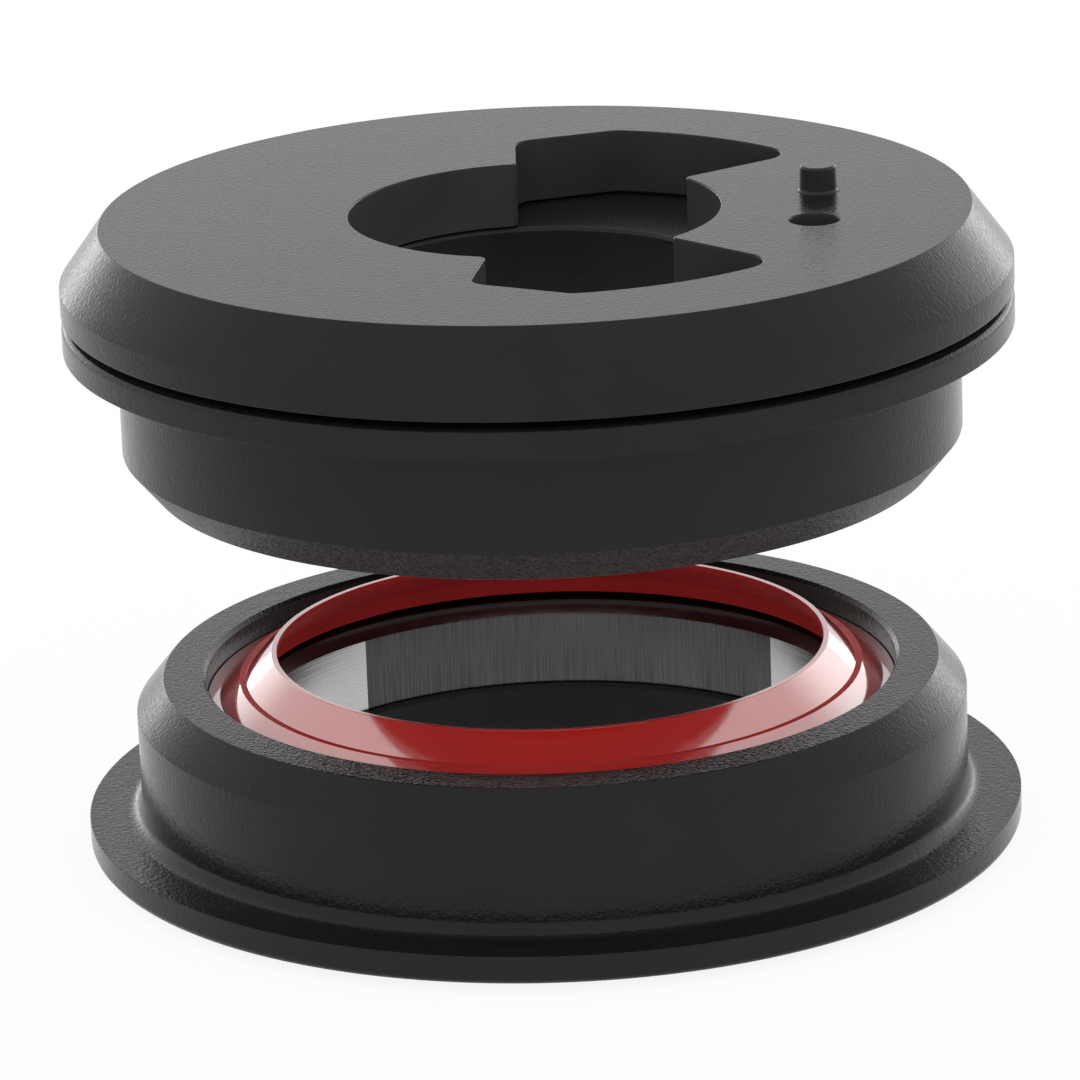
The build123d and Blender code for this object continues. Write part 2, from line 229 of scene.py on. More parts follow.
class MeshSketch:
    """Collects rows of vertices and the faces between them, with a normal for each face corner."""

    def __init__(self) -> None:
        """Starts an empty sketch."""
        self.places: list[Vector] = []
        self.normals: list[Vector] = []
        self.faces: list[tuple[int, ...]] = []
        self.flat: dict[int, Vector] = {}

    def row(self, places: list[Vector], normals: list[Vector]) -> list[int]:
        """Adds vertices.

        Args:
            places: Their places in millimetres.
            normals: Their surface normals.

        Returns:
            Their numbers.
        """
        first = len(self.places)
        self.places.extend(places)
        self.normals.extend(normals)
        return list(range(first, len(self.places)))

    def band(self, first: list[int], second: list[int], closed: bool = True) -> None:
        """Joins two rows by faces, the second one after the first along its outline.

        Args:
            first: A row, or one vertex on the axis.
            second: The next row, or one vertex on the axis.
            closed: Whether the rows run all the way round.
        """
        count = max(len(first), len(second))
        for here in range(count if closed else count - 1):
            there = (here + 1) % count
            if len(first) == 1:
                self.faces.append((first[0], second[there], second[here]))
            elif len(second) == 1:
                self.faces.append((first[here], first[there], second[0]))
            else:
                self.faces.append((first[here], first[there], second[there], second[here]))

    def fill(self, rows: list[list[int]], normal: Vector) -> None:
        """Closes a flat region.

        Args:
            rows: Its outer row, and the rows of its holes.
            normal: The side that it faces.
        """
        numbers = [vertex for row in rows for vertex in row]
        loops = [[self.places[vertex] for vertex in row] for row in rows]
        for triangle in tessellate_polygon(loops):
            face = [numbers[index] for index in triangle]
            first, second, third = (self.places[vertex] for vertex in face)
            facing = (second - first).cross(third - first)
            if facing.length < SLIVER:
                continue
            if facing.dot(normal) < 0:
                face.reverse()
            self.flat[len(self.faces)] = normal
            self.faces.append(tuple(face))

    def spin(
        self,
        outline: Outline,
        centre: Vector = AXIS,
        segments: int = RING_SEGMENTS,
        slit: Slit | None = None,
    ) -> list[list[int]]:
        """Turns a section of radius and height about an upright axis.

        Args:
            outline: The section.
            centre: Where the axis stands in plan.
            segments: How many steps a turn takes.
            slit: A cut that opens the ring.

        Returns:
            One row of vertices for each point of the section.
        """
        whole = slit is None
        rows = [self._ring(point, centre, segments, slit) for point in outline.points()]
        for first, second in zip(rows, rows[1:]):
            self.band(first, second, whole)
        if outline.closed:
            self.band(rows[-1], rows[0], whole)
        if slit is not None:
            turn = math.radians(slit.angle)
            across = Vector((-math.sin(turn), math.cos(turn), 0.0))
            self.fill([[row[0] for row in rows]], -across)
            self.fill([[row[-1] for row in rows]], across)
        return rows

    def _ring(self, point: OutlinePoint, centre: Vector, segments: int, slit: Slit | None) -> list[int]:
        """One turned point of a section.

        Args:
            point: The point, its radius and height.
            centre: Where the axis stands in plan.
            segments: How many steps a turn takes.
            slit: A cut that opens the ring.

        Returns:
            The row's vertex numbers, one alone on the axis.
        """
        radius, height = point.place
        if radius < AXIS_RADIUS:
            return self.row([Vector((*centre, height))], [UP * math.copysign(1, point.outward.y)])
        if slit is None:
            angles = [math.tau * step / segments for step in range(segments)]
        else:
            gap = slit.half_angle(radius)
            start = math.radians(slit.angle) + gap
            sweep = math.tau - 2 * gap
            angles = [start + sweep * step / segments for step in range(segments + 1)]
        places = []
        normals = []
        for angle in angles:
            ray = Vector((math.cos(angle), math.sin(angle)))
            places.append(Vector((*(centre + ray * radius), height)))
            normals.append(Vector((*(ray * point.outward.x), point.outward.y)))
        return self.row(places, normals)

    def to_object(self, name: str) -> bpy.types.Object:
        """Makes the mesh.

        Args:
            name: The new object's name.

        Returns:
            The object, linked to the scene.
        """
        mesh = bpy.data.meshes.new(name)
        mesh.from_pydata([place * MM for place in self.places], [], self.faces)
        mesh.polygons.foreach_set("use_smooth", [True] * len(mesh.polygons))
        corner_normals: list[Vector] = []
        for number, face in enumerate(self.faces):
            own = self.flat.get(number)
            corner_normals.extend(own or self.normals[vertex] for vertex in face)
        mesh.normals_split_custom_set(corner_normals)
        mesh.update()
        made = bpy.data.objects.new(name, mesh)
        bpy.context.scene.collection.objects.link(made)
        return made


def shaded(colour: Colour, share: float) -> Colour:
    """A colour with its brightness changed by a share."""
    return tuple(channel * (1 + share) for channel in colour)


class NodeTable:
    """A node tree that is filled node by node."""

    def __init__(self, tree: bpy.types.NodeTree) -> None:
        """Takes the tree."""
        self.tree = tree

    def add(self, kind: str, *sources: Source, **values: float | str | tuple[float, ...]) -> bpy.types.Node:
        """Adds a node.

        Args:
            kind: The node's type.
            sources: Nodes with the names of their outputs, linked to its first inputs in order.
            values: Its input sockets by name with _ for a space, or its own settings.

        Returns:
            The node.
        """
        node = self.tree.nodes.new(kind)
        for key, value in values.items():
            socket = node.inputs.get(key.replace("_", " "))
            if socket is None:
                setattr(node, key, value)
            else:
                socket.default_value = value
        for number, (start, out) in enumerate(sources):
            self.link(start, out, node, number)
        return node

    def link(self, start: bpy.types.Node, out: str | int, end: bpy.types.Node, into: str | int) -> None:
        """Links an output of one node to an input of another."""
        self.tree.links.new(start.outputs[out], end.inputs[into])


class NodeSheet(NodeTable):
    """A material's node tree with its shader and output in place."""

    def __init__(self, name: str) -> None:
        """Starts a material with a plain principled shader.

        Args:
            name: The material's name.
        """
        self.material = bpy.data.materials.new(name)
        self.material.use_nodes = True
        super().__init__(self.material.node_tree)
        self.tree.nodes.clear()
        self.shader = self.add("ShaderNodeBsdfPrincipled")
        self.add("ShaderNodeOutputMaterial", (self.shader, "BSDF"))
        self.places = self.add("ShaderNodeTexCoord")

    def set(self, **values: float | tuple[float, ...]) -> None:
        """Sets constants on the shader's own sockets."""
        for key, value in values.items():
            self.shader.inputs[key.replace("_", " ")].default_value = value

    def noise(self, *scale: float, detail: float = 2.0, distortion: float = 0.0) -> bpy.types.Node:
        """Adds a noise that is fixed to the piece.

        Args:
            scale: Cells for each metre, one number or three for X, Y and Z.
            detail: How many finer layers it has.
            distortion: How far it winds.

        Returns:
            The noise node.
        """
        cells = scale if len(scale) == 3 else scale * 3
        stretch = self.add("ShaderNodeMapping", (self.places, "Object"), Scale=cells)
        return self.add(
            "ShaderNodeTexNoise", (stretch, "Vector"), Scale=1.0, Detail=detail, Distortion=distortion
        )

    def roughen(self, source: bpy.types.Node, out: str, low: float, high: float) -> None:
        """Lets a texture set the shader's roughness between two values.

        Args:
            source: The texture.
            out: Its output.
            low: The roughness where the texture is low.
            high: The roughness where the texture is high.
        """
        start, end = NOISE_SPAN
        mapped = self.add(
            "ShaderNodeMapRange", (source, out), From_Min=start, From_Max=end, To_Min=low, To_Max=high
        )
        self.link(mapped, "Result", self.shader, "Roughness")

    def ramp(self, source: bpy.types.Node, out: str, low: Colour, high: Colour) -> bpy.types.Node:
        """Turns a noise into a blend of two colours.

        Args:
            source: The noise.
            out: Its output.
            low: The colour where the noise is low.
            high: The colour where the noise is high.

        Returns:
            The ramp node.
        """
        ramp = self.add("ShaderNodeValToRGB", (source, out))
        for stop, position, colour in zip(ramp.color_ramp.elements, TONE_SPAN, (low, high)):
            stop.position = position
            stop.color = (*colour, 1.0)
        return ramp

    def tint(self, source: bpy.types.Node, colour: Colour, darker: float, lighter: float) -> None:
        """Colours the shader by a noise.

        Args:
            source: The noise.
            colour: The colour that it varies.
            darker: The share that the colour loses where the noise is low.
            lighter: The share that it gains where the noise is high.
        """
        ramp = self.ramp(source, "Fac", shaded(colour, -darker), shaded(colour, lighter))
        self.link(ramp, "Color", self.shader, "Base Color")

    def bump(self, source: bpy.types.Node, out: str, depth: float) -> None:
        """Raises the surface by a texture.

        Args:
            source: The texture.
            out: Its output.
            depth: The height of its full range in metres.
        """
        raised = self.add("ShaderNodeBump", Strength=1.0, Distance=depth)
        self.link(source, out, raised, "Height")
        self.link(raised, "Normal", self.shader, "Normal")


@dataclass(frozen=True)
class SkinFinish:
    """A finish with a cloudy tone, and a fine skin that changes its gloss and raises it."""

    name: str
    colour: Colour
    roughness: float
    ior: float
    spread: float
    skin_scale: float
    skin_depth: float
    cloud: tuple[float, float]
    cloud_scale: float
    metallic: float = 0.0
    skin_detail: float = 2.0
    skin_wind: float = 0.0
    cloud_detail: float = 2.0

    def sheet(self) -> NodeSheet:
        """Lays out the finish.

        Returns:
            Its nodes.
        """
        sheet = NodeSheet(self.name)
        sheet.set(IOR=self.ior, Metallic=self.metallic)
        skin = sheet.noise(self.skin_scale, detail=self.skin_detail, distortion=self.skin_wind)
        cloud = sheet.noise(self.cloud_scale, detail=self.cloud_detail)
        sheet.tint(cloud, self.colour, *self.cloud)
        sheet.roughen(skin, "Fac", self.roughness - self.spread, self.roughness + self.spread)
        if self.skin_depth > 0:
            sheet.bump(skin, "Fac", self.skin_depth)
        return sheet

    def material(self) -> bpy.types.Material:
        """Builds the finish."""
        return self.sheet().material


@dataclass(frozen=True)
class GrainedBlack(SkinFinish):
    """Satin black coating with a fine winding grain."""

    colour: Colour = (0.0088, 0.0088, 0.009)
    roughness: float = 0.18
    ior: float = 1.3
    spread: float = 0.05
    skin_scale: float = 3200.0
    skin_depth: Grain = Grain.FULL
    cloud: tuple[float, float] = (0.12, 0.12)
    cloud_scale: float = 180.0
    skin_detail: float = 0.5
    skin_wind: float = 0.9
    cloud_detail: float = 3.0


@dataclass(frozen=True)
class GlossElastomer(SkinFinish):
    """Moulded red elastomer with a polished and lacquered skin."""

    colour: Colour = (0.58, 0.023, 0.019)
    roughness: float = 0.075
    ior: float = 2.9
    spread: float = 0.025
    skin_scale: float = 900.0
    skin_depth: float = 0.0000008
    cloud: tuple[float, float] = (0.05, 0.05)
    cloud_scale: float = 90.0
    lacquer_ior: float = 1.5
    lacquer_roughness: float = 0.05

    def material(self) -> bpy.types.Material:
        """Builds the finish and lacquers it.

        Returns:
            Its material.
        """
        sheet = self.sheet()
        sheet.set(Coat_Weight=1.0, Coat_IOR=self.lacquer_ior, Coat_Roughness=self.lacquer_roughness)
        return sheet.material


@dataclass(frozen=True)
class MattePolymer(SkinFinish):
    """Matte moulded polymer."""

    roughness: float = 0.6
    ior: float = 1.5
    spread: float = 0.08
    skin_scale: float = 1600.0
    skin_depth: float = 0.000006
    cloud: tuple[float, float] = (0.1, 0.1)
    cloud_scale: float = 140.0


@dataclass(frozen=True)
class PolishedSteel(SkinFinish):
    """Lapped bearing steel with a faint cloudy film of oil."""

    colour: Colour = (0.66, 0.66, 0.68)
    roughness: float = 0.1
    ior: float = 1.5
    spread: float = 0.04
    skin_scale: float = 700.0
    skin_depth: float = 0.0
    cloud: tuple[float, float] = (0.08, 0.05)
    cloud_scale: float = 700.0
    metallic: float = 1.0


@dataclass(frozen=True)
class GroundSteel:
    """Ground steel: upright lines on the front and back quarters, lying lines on the side quarters; painted
    reflection makes the side quarters far lighter, and painted shade makes the front and back quarters far
    darker.
    """

    name: str
    # Painted light: the lying tones stand for the bright reflection on the side quarters, and the upright
    # tones for the dark reflection on the front and back quarters.
    upright_painted_shade_tones: tuple[Colour, Colour] = ((0.04, 0.04, 0.04), (0.15, 0.15, 0.15))
    lying_painted_reflection_tones: tuple[Colour, Colour] = ((0.55, 0.55, 0.55), (0.86, 0.86, 0.85))
    roughness: float = 0.27
    line_scale: float = 8000.0
    line_detail: float = 3.0
    line_depth: float = 0.000006
    run_scale: float = 130.0
    cloud_scale: float = 70.0
    cloud_share: float = 0.4
    spread: float = 0.06

    def material(self) -> bpy.types.Material:
        """Builds the finish.

        Returns:
            Its material.
        """
        sheet = NodeSheet(self.name)
        sheet.set(Metallic=1.0)
        upright = sheet.noise(self.line_scale, 0.0, self.run_scale, detail=self.line_detail)
        lying = sheet.noise(0.0, self.run_scale, self.line_scale, detail=self.line_detail)
        axes = sheet.add("ShaderNodeSeparateXYZ", (sheet.places, "Object"))
        across = sheet.add("ShaderNodeMath", (axes, "X"), operation="ABSOLUTE")
        along = sheet.add("ShaderNodeMath", (axes, "Y"), operation="ABSOLUTE")
        quarter = sheet.add(
            "ShaderNodeMath", (across, "Value"), (along, "Value"), operation="GREATER_THAN"
        )
        lines = sheet.add("ShaderNodeMix", (quarter, "Value"))
        sheet.link(upright, "Fac", lines, "A")
        sheet.link(lying, "Fac", lines, "B")
        tones = sheet.add("ShaderNodeMix", (quarter, "Value"), data_type="RGBA")
        cloud = sheet.noise(self.cloud_scale)
        # The side quarters take the painted reflection tones, and the front and back quarters take the
        # painted shade tones.
        tone_pairs = (self.upright_painted_shade_tones, self.lying_painted_reflection_tones)
        for noise, pair, into in zip((upright, lying), tone_pairs, MIX_COLOURS):
            clouded = sheet.add("ShaderNodeMix", Factor=self.cloud_share)
            sheet.link(noise, "Fac", clouded, "A")
            sheet.link(cloud, "Fac", clouded, "B")
            sheet.link(sheet.ramp(clouded, "Result", *pair), "Color", tones, into)
        sheet.link(tones, MIX_RESULT, sheet.shader, "Base Color")
        sheet.roughen(lines, "Result", self.roughness - self.spread, self.roughness + self.spread)
        sheet.bump(lines, "Result", self.line_depth)
        return sheet.material


class Finishes:
    """Every finish of the headset, made once."""

    def __init__(self) -> None:
        """Builds the materials."""
        self.cover = GrainedBlack("cover_coating").material()
        # Painted light: the walls of the cut and of the key hole are coloured lighter than the coating,
        # standing for the light that reaches into them.
        self.cover_cut_painted_light = GrainedBlack(
            "cover_cut_face_painted_light", (0.036, 0.036, 0.036), 0.4, skin_depth=Grain.FINE
        ).material()
        self.cup = GrainedBlack("cup_coating").material()
        self.cup_rim = GrainedBlack("cup_rim_coating", skin_depth=Grain.DEEP).material()
        self.cup_face = GrainedBlack("cup_face_anodising", roughness=0.7, skin_depth=Grain.FINE).material()
        # Painted bounce light: the faces that look down, chiefly the upper cup's nose chamfer, are coloured
        # lighter and warmer than the coating, standing for light thrown up by the red wiper and the floor.
        self.cup_under_painted_bounce = GrainedBlack(
            "cup_underside_painted_bounce_light",
            (0.028, 0.026, 0.026),
            0.4,
            skin_depth=Grain.DEEP,
            cloud=(0.6, 0.6),
            cloud_scale=3400.0,
        ).material()
        self.ring = GrainedBlack("ring_anodising", skin_depth=Grain.FINE, roughness=0.3).material()
        self.pin = GrainedBlack("pin_blacking", (0.018, 0.018, 0.018), skin_depth=Grain.FINE).material()
        self.crown = GrainedBlack(
            "crown_anodising", (0.03, 0.03, 0.03), 0.5, skin_depth=Grain.FINE
        ).material()
        self.wiper = GlossElastomer("red_elastomer").material()
        self.wiper_inside = MattePolymer(
            "red_elastomer_inside", (0.42, 0.014, 0.012), 0.55, ior=1.3
        ).material()
        # The races' ground steel carries painted reflection and painted shade by quarter.
        self.race = GroundSteel("ground_steel_painted_reflection").material()
        # Painted shade: the inner race's flat ends are made black and its bevel a dark steel, standing for
        # the shadow under the wiper's lip.
        self.race_end_painted_shade = GrainedBlack("race_end_black_painted_shade", roughness=0.35, skin_depth=Grain.FINE).material()
        self.race_bevel_painted_shade = PolishedSteel("race_bevel_dark_steel_painted_shade", (0.11, 0.1, 0.1), 0.2).material()
        self.ball = PolishedSteel("polished_balls").material()
        self.rubber = MattePolymer("black_nitrile", (0.014, 0.014, 0.014)).material()
        self.cage = MattePolymer("natural_nylon", (0.55, 0.5, 0.38), roughness=0.5).material()


@dataclass(frozen=True)
class NodeReach:
    """How far a turned CAD node reaches, in millimetres."""

    radius: float
    bottom: float
    top: float

    @classmethod
    def of(cls, node: str) -> "NodeReach":
        """Reads a node's box.

        Args:
            node: The CAD node's name.

        Returns:
            Its outer radius, lowest and highest height.
        """
        low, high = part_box(node)
        return cls(high.y / MM, low.z / MM, high.z / MM)


@dataclass(frozen=True)
class Stack:
    """One stack's place on the axis: the height of its flange face and which way its nose points."""

    side: str
    face: float
    direction: int

    @classmethod
    def upper(cls) -> "Stack":
        """The stack whose nose points down."""
        return cls("upper", NodeReach.of("upper_cup").top, -1)

    @classmethod
    def lower(cls) -> "Stack":
        """The stack whose nose points up."""
        return cls("lower", NodeReach.of("lower_cup").bottom, 1)

    def section(self, *corners: Corner) -> Outline:
        """Sets a section of radius and depth at this stack's height.

        Args:
            corners: Its corners, counterclockwise as the depth grows upwards.

        Returns:
            The section in radius and height, with its material on the left.
        """
        placed = [Corner(c.across, self.face + self.direction * c.up, c.radius) for c in corners]
        if self.direction < 0:
            placed.reverse()
        return Outline(tuple(placed))


def seat(
    sketch: MeshSketch, name: str, body: str, finish: bpy.types.Material, node: str
) -> bpy.types.Object:
    """Makes a new piece and gives it its finish and its place in the frame.

    Args:
        sketch: Its mesh.
        name: Its name.
        body: The CAD body that it rides on.
        finish: Its material.
        node: The CAD node that it stands for.

    Returns:
        The piece.
    """
    piece = sketch.to_object(name)
    piece.data.materials.append(finish)
    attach(piece, body)
    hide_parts(node)
    LOG.info("%s stands for %s, %d faces", name, node, len(piece.data.polygons))
    return piece


def redress(piece: bpy.types.Object, finish: bpy.types.Material, takes: FaceTest) -> None:
    """Gives some faces of a new piece one more finish.

    Args:
        piece: The piece.
        finish: The finish.
        takes: Tells which faces take it.
    """
    piece.data.materials.append(finish)
    last = len(piece.data.materials) - 1
    for face in piece.data.polygons:
        if takes(face):
            face.material_index = last


def looks_inward(face: bpy.types.MeshPolygon) -> bool:
    """Whether a face of a turned piece looks towards its axis."""
    return face.normal.to_2d().dot(face.center.to_2d().normalized()) < -WALL_TILT


def dress(node: str, finish: bpy.types.Material) -> None:
    """Gives a CAD node its finish.

    Args:
        node: The node's name.
        finish: Its material.
    """
    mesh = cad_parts[node].data
    mesh.materials.clear()
    mesh.materials.append(finish)
    LOG.info("%s keeps its solid", node)


@dataclass
class PressCup:
    """Press-in cup: flange, press-fit body, chamfered nose, bearing seat, web and pocket."""

    stack: Stack
    finishes: Finishes
    body_radius: float = 33.0
    flange_thickness: float = 2.3
    flange_round: float = 0.6
    flange_fillet: float = 1.2
    depth: float = 13.38
    nose_chamfer: tuple[float, float] = (2.2, 2.65)
    pocket_radius: float = 27.4
    pocket_depth: float = 2.8
    rim_bevel: float = 0.3
    web_radius: float = 26.5
    web_thickness: float = 0.85
    seat_radius: float = 30.03
    seat_chamfer: float = 1.5
    mouth_chamfer: float = 0.5

    def section(self) -> Outline:
        """Draws the cup.

        Returns:
            Its section in radius and height.
        """
        flange = NodeReach.of(f"{self.stack.side}_cup").radius
        across, along = self.nose_chamfer
        pocket = self.depth - self.pocket_depth
        web = pocket - self.web_thickness
        wall = self.seat_radius
        return self.stack.section(
            Corner(wall, self.mouth_chamfer),
            Corner(wall + self.mouth_chamfer, 0.0),
            Corner(flange, 0.0, self.flange_round),
            Corner(flange, self.flange_thickness),
            Corner(self.body_radius, self.flange_thickness, self.flange_fillet),
            Corner(self.body_radius, self.depth - along, Edge.EASED),
            Corner(self.body_radius - across, self.depth, Edge.EASED),
            Corner(self.pocket_radius + self.rim_bevel, self.depth),
            Corner(self.pocket_radius, self.depth - self.rim_bevel),
            Corner(self.pocket_radius, pocket),
            Corner(self.web_radius, pocket),
            Corner(self.web_radius, web),
            Corner(wall - self.seat_chamfer, web),
            Corner(wall, web - self.seat_chamfer),
        )

    def build(self) -> None:
        """Turns the cup and seats it."""
        side = self.stack.side
        sketch = MeshSketch()
        sketch.spin(self.section())
        piece = seat(
            sketch, f"{side}_cup_shell", f"{side}_cup_group", self.finishes.cup, f"{side}_cup"
        )
        away = -self.stack.direction
        redress(piece, self.finishes.cup_rim, lambda face: face.normal.z > FLAT_TILT)
        # The faces that look down take the painted bounce light.
        redress(piece, self.finishes.cup_under_painted_bounce, lambda face: face.normal.z < -END_TILT)
        redress(piece, self.finishes.cup_face, lambda face: face.normal.z * away > FLAT_TILT)


@dataclass
class CartridgeBearing:
    """Angular-contact cartridge: ground races, balls in their cage and two rubber seals."""

    stack: Stack
    turning_body: str
    finishes: Finishes
    bore_radius: float = 23.6
    shoulder_radius: float = 25.5
    start: float = 2.1
    height: float = 8.2
    seat_chamfer: float = 1.2
    bevel: float = 0.95
    track_centre: tuple[float, float] = (26.8, 5.9)
    track_radius: float = 2.045
    track_steps: int = 16

    def track(self) -> list[Corner]:
        """Draws the ball track in the inner race's shoulder.

        Returns:
            Its corners in radius and depth, from the shallow end.
        """
        across, along = self.track_centre
        half = math.acos((across - self.shoulder_radius) / self.track_radius)
        corners = []
        for step in range(self.track_steps + 1):
            angle = math.pi + half - 2 * half * step / self.track_steps
            radius = across + self.track_radius * math.cos(angle)
            depth = along + self.track_radius * math.sin(angle)
            rounded = Edge.CRISP if step in (0, self.track_steps) else Edge.CURVE
            corners.append(Corner(radius, depth, rounded))
        return corners

    def inner_section(self) -> Outline:
        """Draws the inner race.

        Returns:
            Its section in radius and height.
        """
        bore = self.bore_radius
        end = self.start + self.height
        return self.stack.section(
            Corner(bore, self.start + self.seat_chamfer),
            Corner(bore + self.seat_chamfer, self.start),
            Corner(self.shoulder_radius, self.start),
            *self.track(),
            Corner(self.shoulder_radius, end),
            Corner(bore + self.bevel, end),
            Corner(bore, end - self.bevel, Edge.EASED),
        )

    def build(self) -> None:
        """Turns the inner race and dresses the rest of the cartridge."""
        side = self.stack.side
        sketch = MeshSketch()
        sketch.spin(self.inner_section())
        name = f"{side}_inner_race_ring"
        node = f"{side}_bearing_inner_race"
        piece = seat(sketch, name, self.turning_body, self.finishes.race, node)
        # Painted shade on the race's bevel and flat ends.
        redress(piece, self.finishes.race_bevel_painted_shade, lambda face: abs(face.normal.z) > END_TILT)
        redress(piece, self.finishes.race_end_painted_shade, lambda face: abs(face.normal.z) >= FLAT_TILT)
        dress(f"{side}_bearing_outer_race", self.finishes.race)
        dress(f"{side}_bearing_balls", self.finishes.ball)
        dress(f"{side}_bearing_cage", self.finishes.cage)
        for seal in ("face", "nose"):
            dress(f"{side}_bearing_{seal}_seal", self.finishes.rubber)


@dataclass
class CompressionRing:
    """Split ring with a cone that centres the steerer in the upper bearing."""

    finishes: Finishes
    body: str = "cover_group"
    bore_radius: float = 14.4
    bore_edge: float = 0.3
    plug_radius: float = 23.08
    slit: Slit = Slit(1.2, 205.0)

    def build(self) -> None:
        """Turns the ring, cuts it open and seats it."""
        reach = NodeReach.of("compression_ring")
        cone_foot = reach.bottom + reach.radius - self.plug_radius
        section = Outline((
            Corner(self.bore_radius, reach.bottom),
            Corner(self.plug_radius, reach.bottom),
            Corner(reach.radius, cone_foot),
            Corner(reach.radius, reach.top),
            Corner(self.bore_radius + self.bore_edge, reach.top, Edge.EASED),
            Corner(self.bore_radius, reach.top - self.bore_edge, Edge.EASED),
        ))
        sketch = MeshSketch()
        sketch.spin(section, slit=self.slit)
        name = "compression_ring_split"
        seat(sketch, name, self.body, self.finishes.ring, "compression_ring")


@dataclass
class TopCover:
    """Turned cover with a bore, two wing recesses mirrored about X, the pin's seat and a key hole."""

    finishes: Finishes
    body: str = "cover_group"
    thickness: float = 5.15
    skirt_wall: float = 3.7
    chamfer: tuple[float, float] = (3.2, 4.35)
    bore_radius: float = 14.5
    lobe_radius: float = 25.6
    tip_angle: float = 39.9
    tip_round: float = 2.6
    corner_angle: float = 79.3
    corner_round: float = 1.5
    heel_angle: float = 98.3
    heel_inset: float = 3.5
    heel_lean: float = 4.8
    heel_round: float = 1.8
    mouth_round: float = 0.6
    cut_edge: float = 0.16
    cut_steps: int = 6
    margin: float = 0.5
    pin_seat: HoleSteps = ((1.65, 0.3), (1.22, 3.0))
    key_hole: HoleSteps = ((1.9, 2.5),)
    hole_edge: float = 0.16
    arc_steps: int = 8
    arc_gap: float = 1.0

    def __post_init__(self) -> None:
        """Reads where the cover lies and starts its mesh."""
        self.reach = NodeReach.of("top_cover")
        self.underside = self.reach.top - self.thickness
        self.sketch = MeshSketch()

    @staticmethod
    def polar(radius: float, angle: float, rounding: float = Edge.CURVE) -> Corner:
        """A corner in plan from a radius and an angle in degrees."""
        turn = math.radians(angle)
        return Corner(radius * math.cos(turn), radius * math.sin(turn), rounding)

    def arc(self, radius: float, start: float, end: float, centre: Vector = AXIS) -> list[Corner]:
        """Points on an arc in plan.

        Args:
            radius: The arc's radius.
            start: Its first angle in degrees.
            end: Its last angle in degrees.
            centre: Where its centre is.

        Returns:
            Corners that lie on the curve.
        """
        steps = max(self.arc_steps, math.ceil(abs(end - start)))
        corners = []
        for step in range(steps + 1):
            spoke = self.polar(radius, start + (end - start) * step / steps)
            corners.append(Corner(centre.x + spoke.across, centre.y + spoke.up, spoke.radius))
        return corners

    def wing(self) -> list[Corner]:
        """Draws the recess on the side of +Y.

        Returns:
            Its corners in plan, from the bore's right mouth round to its left mouth.
        """
        inset_radius = self.lobe_radius - self.tip_round
        lean = math.degrees(math.asin(self.tip_round / inset_radius))
        tip_centre = self.polar(inset_radius, self.tip_angle + lean).place()
        heel = self.polar(self.lobe_radius - self.heel_inset, self.heel_angle, self.heel_round)
        mouth = self.mouth(heel)
        clear = math.degrees(self.corner_round / self.lobe_radius)
        return [
            self.polar(self.bore_radius, self.tip_angle, self.mouth_round),
            *self.arc(self.tip_round, self.tip_angle - 90, self.tip_angle + lean, tip_centre),
            *self.arc(self.lobe_radius, self.tip_angle + lean + self.arc_gap, self.corner_angle - clear),
            self.polar(self.lobe_radius, self.corner_angle, self.corner_round),
            heel,
            Corner(mouth.x, mouth.y, self.mouth_round),
        ]

    def mouth(self, heel: Corner) -> Vector:
        """Where the heel's leaning side meets the bore.

        Args:
            heel: The corner that the side starts from.

        Returns:
            The place in plan.
        """
        lean = math.radians(self.heel_lean)
        along = Vector((math.sin(lean), -math.cos(lean)))
        middle = -along.dot(heel.place())
        offset = (heel.place() + along * middle).length
        return heel.place() + along * (middle - math.sqrt(self.bore_radius**2 - offset**2))

    def opening(self) -> Outline:
        """Draws the bore with its two wing recesses.

        Returns:
            Its plan, anticlockwise.
        """
        wing = self.wing()
        mirrored = [Corner(corner.across, -corner.up, corner.radius) for corner in reversed(wing)]
        clear = math.degrees(2 * self.mouth_round / self.bore_radius)
        left = math.degrees(math.atan2(wing[-1].up, wing[-1].across))
        right = self.tip_angle
        return Outline((
            *self.arc(self.bore_radius, clear - right, right - clear),
            *wing,
            *self.arc(self.bore_radius, left + clear, 360 - left - clear),
            *mirrored,
        ))

    def cut_rows(self) -> list[list[int]]:
        """Lowers the opening's outline through the cover, with rounded edges above and below.

        Returns:
            The rows from the top face to the underside.
        """
        edge = self.cut_edge
        outline = self.opening().points()
        above = []
        below = []
        for step in range(self.cut_steps + 1):
            lean = math.pi / 2 * step / self.cut_steps
            closing = edge * (1 - math.sin(lean))
            opening = edge * (1 - math.cos(lean))
            above.append((closing, self.reach.top - opening, math.pi / 2 - lean))
            below.append((opening, self.underside + closing, -lean))
        rows = []
        for offset, height, tilt in above + below:
            places = []
            normals = []
            for point in outline:
                plan = point.place + point.outward * offset
                inward = -point.outward * math.cos(tilt)
                places.append(Vector((*plan, height)))
                normals.append(Vector((*inward, math.sin(tilt))))
            rows.append(self.sketch.row(places, normals))
        for upper, lower in zip(rows, rows[1:]):
            self.sketch.band(upper, lower)
        return rows

    def rim(self) -> list[list[int]]:
        """Turns the skirt, the rim and the long chamfer.

        Returns:
            The rows from the underside round to the top face.
        """
        reach = self.reach
        across, along = self.chamfer
        skirt = reach.radius - self.skirt_wall
        return self.sketch.spin(Outline((
            Corner(skirt - self.margin, self.underside),
            Corner(skirt, self.underside),
            Corner(skirt, reach.bottom),
            Corner(reach.radius, reach.bottom, Edge.EASED),
            Corner(reach.radius, reach.top - along, Edge.EASED),
            Corner(reach.radius - across, reach.top, Edge.EASED),
            Corner(reach.radius - across - self.margin, reach.top),
        ), closed=False))

